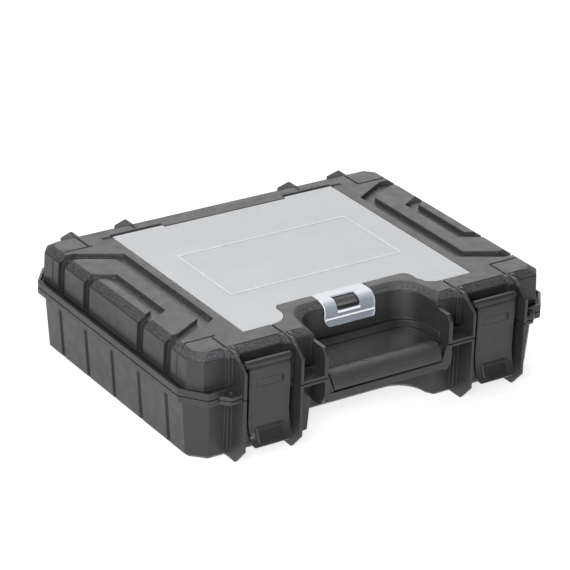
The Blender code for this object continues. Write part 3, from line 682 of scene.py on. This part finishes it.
def grip_side():
    """The grip from the side, as (y, z)."""
    low, high = GRIP_Z
    outline = [(GRIP_FRONT, low), (GRIP_FRONT, low + 3.5)]
    outline += arc(GRIP_ROLL[:2], GRIP_ROLL[2], 160, 60, 16)
    outline += arc((GRIP_BACK - 7.0, high - 9.0), 7.5, 70, 0, 8)
    return outline + [(GRIP_BACK + 0.5, low + 3.0), (GRIP_BACK - 2.5, low)]


def grip_dimples(sizes):
    """Small round dimples in staggered rows along the front roll."""
    y, z, radius = GRIP_ROLL
    step = sizes.dimple_step / MM
    dimples = []
    for row, turn in enumerate(DIMPLE_TURNS):
        out_y, out_z = math.cos(math.radians(turn)), math.sin(math.radians(turn))
        for number in range(-3, 4):
            x = step * (number + 0.5 * (row % 2))
            if abs(x) > GRIP_HALF[0] - 5.0:
                continue
            deselect()
            reach = radius + DIMPLE_LIFT
            bpy.ops.mesh.primitive_uv_sphere_add(
                segments=12, ring_count=8, radius=sizes.dimple,
                location=placed("X", (y + out_y * reach, z + out_z * reach), x),
            )
            bpy.ops.object.transform_apply(location=True, rotation=True, scale=True)
            dimples.append(bpy.context.object)
    return merge(dimples)


def build_grip(sizes):
    """The handle's grip with slanted ends, a lug at each end and dimples."""
    low, high = GRIP_Z
    grip = prism("grip_bar", grip_side(), "X", -GRIP_REACH, GRIP_REACH)
    foot, head = GRIP_HALF
    ends = [(foot, low - 1), (head, high + 2), (-head, high + 2), (-foot, low - 1)]
    combine(grip, prism("ends", ends, "Y", -170.0, -120.0), "INTERSECT")
    soften(grip, 0.9, 3, 35.0)
    (lug_front, lug_low), (lug_back, lug_high) = GRIP_LUG
    for side in (-1, 1):
        lo, hi = sorted((side * 45.0, side * GRIP_LUG_END))
        lug = block("lug", (lo, lug_front, lug_low), (hi, lug_back, lug_high))
        combine(grip, soften(lug, 0.6), "UNION")
    return combine(grip, grip_dimples(sizes), "DIFFERENCE")


def cover_outline():
    """The cover from above, with its two hinge leaves at the back."""
    half, back, radius = COVER_NOTCH
    flare_x, flare_y, flare_r = COVER_FLARE
    front, rear = COVER_Y
    right = arc((half - radius, back - radius), radius, 90, 0, 8)
    right += arc((flare_x, flare_y), flare_r, 180, 270, 10)
    right += [(COVER_HALF_X, front), (COVER_HALF_X, rear), (HINGE_X[1], rear)]
    right += [(HINGE_X[1], HINGE_AXIS[0]), (HINGE_X[0], HINGE_AXIS[0]), (HINGE_X[0], rear)]
    return right + mirrored(right)[::-1]


def tab_line(lift):
    """The tab in (y, z) at a depth inside its outer face, from the plate down to its lip."""
    radius = TAB_BEND_R
    line = [(-78.0, COVER_Z[1] - lift)]
    line += arc((TAB_EDGE + radius, COVER_Z[1] - radius), radius - lift, 90, 180, 12)
    ridge = 0.0 if lift else 0.45
    line += [(TAB_EDGE + lift, TAB_CREASE_Z + 0.7), (TAB_EDGE - ridge + lift, TAB_CREASE_Z)]
    line += [(TAB_EDGE - 0.25 + lift * 0.95, TAB_CREASE_Z - 0.7)]
    return line + [(TAB_EDGE - 2.6 + lift * 0.8, TAB_LOW - lift * 0.4)]


def build_tab():
    """The tab that bends down over the edge, with its slot and the lip under it."""
    lo, hi = TAB_X
    tab = prism("tab", tab_line(0.0) + tab_line(TAB_THICK)[::-1], "X", lo, hi)
    corner, low = TAB_CORNER, TAB_LOW - 0.8
    left = arc((lo + corner, low + corner), corner, 180, 270, 8)
    right = arc((hi - corner, low + corner), corner, 270, 360, 8)
    outline = left + right + [(hi, 103.0), (lo, 103.0)]
    combine(tab, prism("front_view", outline, "Y", -112.0, -70.0), "INTERSECT")
    lo, hi = SLOT_X
    front, back = TAB_EDGE - 0.7, TAB_EDGE + 0.8
    lip = block("lip", (lo + 0.5, front, SLOT_LOW - 2.0), (hi - 0.5, back, SLOT_LOW))
    return combine(tab, soften(lip, 0.35), "UNION")


def cover_slot():
    """What is cut out of the tab for the catch, with round lower corners."""
    lo, hi = SLOT_X
    corner = SLOT_CORNER
    outline = arc((lo + corner, SLOT_LOW + corner), corner, 180, 270, 6)
    outline += arc((hi - corner, SLOT_LOW + corner), corner, 270, 360, 6)
    return prism("slot", outline + [(hi, 103.5), (lo, 103.5)], "Y", -106.0, -89.0)


def is_cover_edge(face):
    """Whether a face of the cover is one of its narrow edges, which get a whiter finish as painted
    glow.
    """
    x, y, z = face.center / MM
    lo, hi = TAB_X
    if y > COVER_NOTCH[1] - 0.6 and z > 99.0:
        return abs(face.normal.z) < 0.5
    sides = min(abs(x - lo), abs(x - hi)) < 0.4 or (z < 88.0 and abs(face.normal.x) > 0.15)
    foot = z < 82.0 and face.normal.z < -0.6
    crease = abs(z - TAB_CREASE_Z) < 0.8 and face.normal.y < 0.0
    lip = y < TAB_EDGE - 0.1 and z > 90.0
    return sides or foot or crease or lip


def build_cover(sizes):
    """The cover's sheet and its tab as one piece, with its edges marked for the painted glow finish.
    """
    cover = prism("cover_sheet", cover_outline(), "Z", *COVER_Z)
    combine(cover, build_tab(), "UNION")
    combine(cover, cover_slot(), "DIFFERENCE")
    for number in range(3):
        cover.data.materials.append(bpy.data.materials.new(f"mark_{number}"))
    for face in cover.data.polygons:
        if is_cover_edge(face):
            face.material_index = 1
        else:
            face.material_index = 2 if face.center.y < COVER_NOTCH[1] * MM else 0
    return soften(cover, sizes.rim / MM, 2, 50.0, material=1)


def build_label_frame():
    """The low raised frame on the cover that borders a label."""
    half, front, back = LABEL_FRAME
    wide, high, sunk = 1.6, 0.5, 0.3
    left, right = -half - wide / 2, half + wide / 2
    corners = [(left, front - wide / 2), (right, front - wide / 2)]
    corners += [(right, back + wide / 2), (left, back + wide / 2)]
    made = trace("label_frame", [placed("Z", p, COVER_Z[1] - sunk) for p in corners])
    bpy.ops.object.mode_set(mode="EDIT")
    bpy.ops.mesh.select_all(action="SELECT")
    bpy.ops.mesh.inset(thickness=wide * MM, depth=0.0)
    bpy.ops.mesh.delete(type="FACE")
    bpy.ops.mesh.select_all(action="SELECT")
    push = Vector((0.0, 0.0, (high + sunk) * MM))
    bpy.ops.mesh.extrude_region_move(TRANSFORM_OT_translate={"value": push})
    bpy.ops.mesh.select_all(action="SELECT")
    bpy.ops.mesh.normals_make_consistent(inside=False)
    bpy.ops.object.mode_set(mode="OBJECT")
    bpy.ops.object.transform_apply(location=True, rotation=True, scale=True)
    return soften(made, 0.25)


def build_cover_hinges():
    """The two hinge barrels along the cover's back, with a thin end that turns in the lid."""
    pieces = []
    for side in (-1, 1):
        lo, hi = sorted(side * x for x in HINGE_X)
        barrel = soften(rod("barrel", HINGE_AXIS, BARREL_R, lo, hi, 32), 0.3)
        lo, hi = sorted((side * (HINGE_X[1] - 1.0), side * TRUNNION_END))
        trunnion = rod("trunnion", HINGE_AXIS, TRUNNION_R, lo, hi, 24)
        pieces.append(combine(barrel, trunnion, "UNION"))
    made = merge(pieces)
    made.name = made.data.name = "cover_hinge_barrels"
    return made


def build_catch_ribs():
    """The level ribs on the front of the catch, which show in the tab's slot."""
    ribs = []
    low, high = NUB_Z
    left, right = NUB_X[0] + 0.4, NUB_X[1] - 0.4
    front, back = NUB_FRONT - 1.0, NUB_FRONT + 0.5
    for number in range(NUB_RIBS):
        z = low + 0.45 + (high - low - 0.9) * number / (NUB_RIBS - 1)
        rib = block("rib", (left, front, z - 0.3), (right, back, z + 0.3))
        ribs.append(soften(rib, 0.2))
    made = merge(ribs)
    made.name = made.data.name = "catch_ribs"
    return made


def paint_nodes(names, material):
    """Gives frame nodes that stay as they are a finish."""
    for name in names:
        node = frame["nodes"][name]
        node.data.materials.clear()
        node.data.materials.append(material)


# Operators


class PieceOperator:
    """What the operators share: they work on the current scene's settings."""

    bl_options = {"REGISTER", "UNDO"}

    @property
    def colours(self):
        return bpy.context.scene.tool_case_colours

    @property
    def sizes(self):
        return bpy.context.scene.tool_case_sizes


class TOOLCASE_OT_shells(PieceOperator, bpy.types.Operator):
    """Make the lid and the base of the case with soft edges"""

    bl_idname = "toolcase.shells"
    bl_label = "Lid and base"

    def execute(self, context):
        for node, name, body in (
            ("base_shell", "case_base", "base"),
            ("lid_shell", "case_lid", "lid"),
        ):
            shell = soft_shell(node, name, self.sizes.edge)
            finish = case_plastic(name + "_plastic", self.colours, shoulder=body == "lid")
            for face in shell.data.polygons:
                face.material_index = 0
            finish_piece(shell, body, [finish], [node])
        return {"FINISHED"}


class TOOLCASE_OT_latches(PieceOperator, bpy.types.Operator):
    """Make both latches, with panel lines and ribbed thumb pads"""

    bl_idname = "toolcase.latches"
    bl_label = "Latches"

    def execute(self, context):
        finish = case_plastic("latch_plastic", self.colours)
        for side, x in (("left", -LATCH_X), ("right", LATCH_X)):
            latch = build_latch("front_latch_" + side, x, self.sizes)
            finish_piece(latch, side + "_latch", [finish], ["latch_" + side])
        return {"FINISHED"}


class TOOLCASE_OT_grip(PieceOperator, bpy.types.Operator):
    """Make the dimpled grip of the handle"""

    bl_idname = "toolcase.grip"
    bl_label = "Grip"

    def execute(self, context):
        grip = build_grip(self.sizes)
        body = frame["nodes"]["handle_grip"]["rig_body"]
        finish_piece(grip, body, [grip_plastic(self.colours)], ["handle_grip"])
        return {"FINISHED"}


class TOOLCASE_OT_cover(PieceOperator, bpy.types.Operator):
    """Make the organiser's milky cover with its tab, label frame and hinge barrels"""

    bl_idname = "toolcase.cover"
    bl_label = "Cover"

    def execute(self, context):
        colours = self.colours
        sheet = clear_plastic("milky_sheet", colours.cover, colours.cover_opacity, 0.3)
        # The rim finish is painted glow on the cover's edges and on its hinge barrels.
        rim = clear_plastic("painted_glow_rim", colours.rim, 0.96, 0.2, 0.05)
        cover = build_cover(self.sizes)
        finishes = [sheet, rim, tab_plastic(colours)]
        finish_piece(cover, "cover", finishes, ["organiser_cover"])
        # The label frame is painted partway towards the rim's painted glow, so that it reads as a
        # lighter line.
        between = [0.65 * one + 0.35 * other for one, other in zip(colours.cover, colours.rim)]
        frame_rim = clear_plastic("frame_rim", between, 0.9, 0.25, 0.05)
        finish_piece(build_label_frame(), "cover", [frame_rim])
        finish_piece(build_cover_hinges(), "cover", [rim])
        return {"FINISHED"}


class TOOLCASE_OT_catch(PieceOperator, bpy.types.Operator):
    """Make the ribs of the catch in front of the lid"""

    bl_idname = "toolcase.catch"
    bl_label = "Catch ribs"

    def execute(self, context):
        finish = case_plastic("catch_plastic", self.colours)
        finish_piece(build_catch_ribs(), "lid", [finish])
        return {"FINISHED"}


class TOOLCASE_OT_organiser(PieceOperator, bpy.types.Operator):
    """Give the organiser's tray and dividers their natural plastic"""

    bl_idname = "toolcase.organiser"
    bl_label = "Tray and dividers"

    def execute(self, context):
        names = [name for name in frame["nodes"] if name.startswith(("organiser_tray", "divider_"))]
        paint_nodes(names, clear_plastic("natural_plastic", self.colours.tray, 1.0, 0.38))
        return {"FINISHED"}


class TOOLCASE_OT_pins(PieceOperator, bpy.types.Operator):
    """Give the hinge and latch pins their blackened finish"""

    bl_idname = "toolcase.pins"
    bl_label = "Pins"

    def execute(self, context):
        finish = Finish("blackened_wire")
        finish.mottle(self.colours.pin, 0.15, 200.0)
        finish.rough(0.3, 0.42, 300.0)
        finish.set(Metallic=0.6)
        paint_nodes([name for name in frame["nodes"] if "_pin_" in name], finish.material)
        return {"FINISHED"}


def area_light(name, place, size, power, target=(0.0, 0.0, 0.05)):
    """A large square light that faces the case."""
    bpy.ops.object.light_add(type="AREA", location=place)
    light = bpy.context.object
    light.name = name
    light.data.shape = "SQUARE"
    light.data.size = size
    light.data.energy = power
    light.visible_camera = False
    light.rotation_euler = (Vector(place) - Vector(target)).to_track_quat("Z", "Y").to_euler()
    return light


def camera_matrix():
    """The camera's place and turn, from its target, distance and angles."""
    azimuth, elevation, roll = (math.radians(a) for a in CAMERA_TURN)
    level = math.cos(elevation)
    back = Vector((math.sin(azimuth) * level, -math.cos(azimuth) * level, math.sin(elevation)))
    right = Vector((math.cos(azimuth), math.sin(azimuth), 0.0))
    right = right * math.cos(roll) + back.cross(right) * math.sin(roll)
    turned = Matrix((right, back.cross(right), back)).transposed().to_4x4()
    turned.translation = Vector(CAMERA_TARGET) + back * CAMERA_DISTANCE
    return turned


def floor_material(colour):
    """A white floor that stays white to the eye and keeps a faint contact shadow."""
    made = bpy.data.materials.new("floor_white")
    made.use_nodes = True
    shader = made.node_tree.nodes["Principled BSDF"]
    shader.inputs["Base Color"].default_value = (*colour, 1.0)
    shader.inputs["Roughness"].default_value = 0.9
    shader.inputs["Specular IOR Level"].default_value = 0.0
    shader.inputs["Emission Color"].default_value = (1.0, 1.0, 1.0, 1.0)
    shader.inputs["Emission Strength"].default_value = 0.75
    return made


class TOOLCASE_OT_stage(PieceOperator, bpy.types.Operator):
    """Set up the white floor, the soft lights and the camera"""

    bl_idname = "toolcase.stage"
    bl_label = "Stage"

    def execute(self, context):
        settings = context.scene.tool_case_stage
        deselect()
        bpy.ops.mesh.primitive_circle_add(vertices=96, radius=9.0, fill_type="NGON")
        floor = bpy.context.object
        floor.name = floor.data.name = "studio_floor"
        floor.data.materials.append(floor_material(settings.floor))

        world = bpy.data.worlds.new("studio_room")
        context.scene.world = world
        world.use_nodes = True
        nodes, links = world.node_tree.nodes, world.node_tree.links
        room = nodes["Background"]
        room.inputs["Strength"].default_value = settings.sky
        room.inputs["Color"].default_value = (1.0, 1.0, 1.0, 1.0)
        backdrop = nodes.new("ShaderNodeBackground")
        backdrop.inputs["Color"].default_value = (1.0, 1.0, 1.0, 1.0)
        mix = nodes.new("ShaderNodeMixShader")
        seen = nodes.new("ShaderNodeLightPath").outputs["Is Camera Ray"]
        links.new(seen, mix.inputs["Fac"])
        links.new(room.outputs["Background"], mix.inputs[1])
        links.new(backdrop.outputs["Background"], mix.inputs[2])
        links.new(mix.outputs["Shader"], nodes["World Output"].inputs["Surface"])

        area_light("top_light", (0.3, 0.5, 1.9), 1.8, settings.key)
        area_light("rear_light", (1.3, 2.0, 1.15), 2.2, settings.rear)
        area_light("side_light", (-2.0, 0.6, 1.0), 1.6, settings.side)
        area_light("front_light", (-0.75, -0.75, 0.5), 0.5, settings.front)

        bpy.ops.object.camera_add()
        camera = bpy.context.object
        camera.matrix_world = camera_matrix()
        camera.data.lens = CAMERA_LENS
        camera.data.sensor_width = 36.0
        camera.data.clip_end = 40.0
        context.scene.camera = camera
        context.scene.view_settings.view_transform = "Standard"
        return {"FINISHED"}


class TOOLCASE_PT_panel(bpy.types.Panel):
    """Settings and steps for the tool case"""

    bl_idname = "TOOLCASE_PT_panel"
    bl_label = "Tool case"
    bl_space_type = "VIEW_3D"
    bl_region_type = "UI"
    bl_category = "Tool case"

    def draw(self, context):
        scene = context.scene
        for group in (scene.tool_case_colours, scene.tool_case_sizes, scene.tool_case_stage):
            box = self.layout.box()
            for name in group.__annotations__:
                box.prop(group, name)
        for step in STEPS:
            self.layout.operator(step.bl_idname)


GROUPS = (ToolCaseColours, ToolCaseSizes, ToolCaseStage)
STEPS = (
    TOOLCASE_OT_shells,
    TOOLCASE_OT_latches,
    TOOLCASE_OT_grip,
    TOOLCASE_OT_cover,
    TOOLCASE_OT_catch,
    TOOLCASE_OT_organiser,
    TOOLCASE_OT_pins,
    TOOLCASE_OT_stage,
)


def register():
    for group in (*GROUPS, *STEPS, TOOLCASE_PT_panel):
        bpy.utils.register_class(group)
    bpy.types.Scene.tool_case_colours = bpy.props.PointerProperty(type=ToolCaseColours)
    bpy.types.Scene.tool_case_sizes = bpy.props.PointerProperty(type=ToolCaseSizes)
    bpy.types.Scene.tool_case_stage = bpy.props.PointerProperty(type=ToolCaseStage)


def unregister():
    del bpy.types.Scene.tool_case_colours
    del bpy.types.Scene.tool_case_sizes
    del bpy.types.Scene.tool_case_stage
    for group in (TOOLCASE_PT_panel, *STEPS[::-1], *GROUPS[::-1]):
        bpy.utils.unregister_class(group)


def main():
    """Makes every piece in order."""
    register()
    bpy.ops.toolcase.shells()
    bpy.ops.toolcase.latches()
    bpy.ops.toolcase.grip()
    bpy.ops.toolcase.cover()
    bpy.ops.toolcase.catch()
    bpy.ops.toolcase.organiser()
    bpy.ops.toolcase.pins()
    bpy.ops.toolcase.stage()


if __name__ == "__main__":
    main()
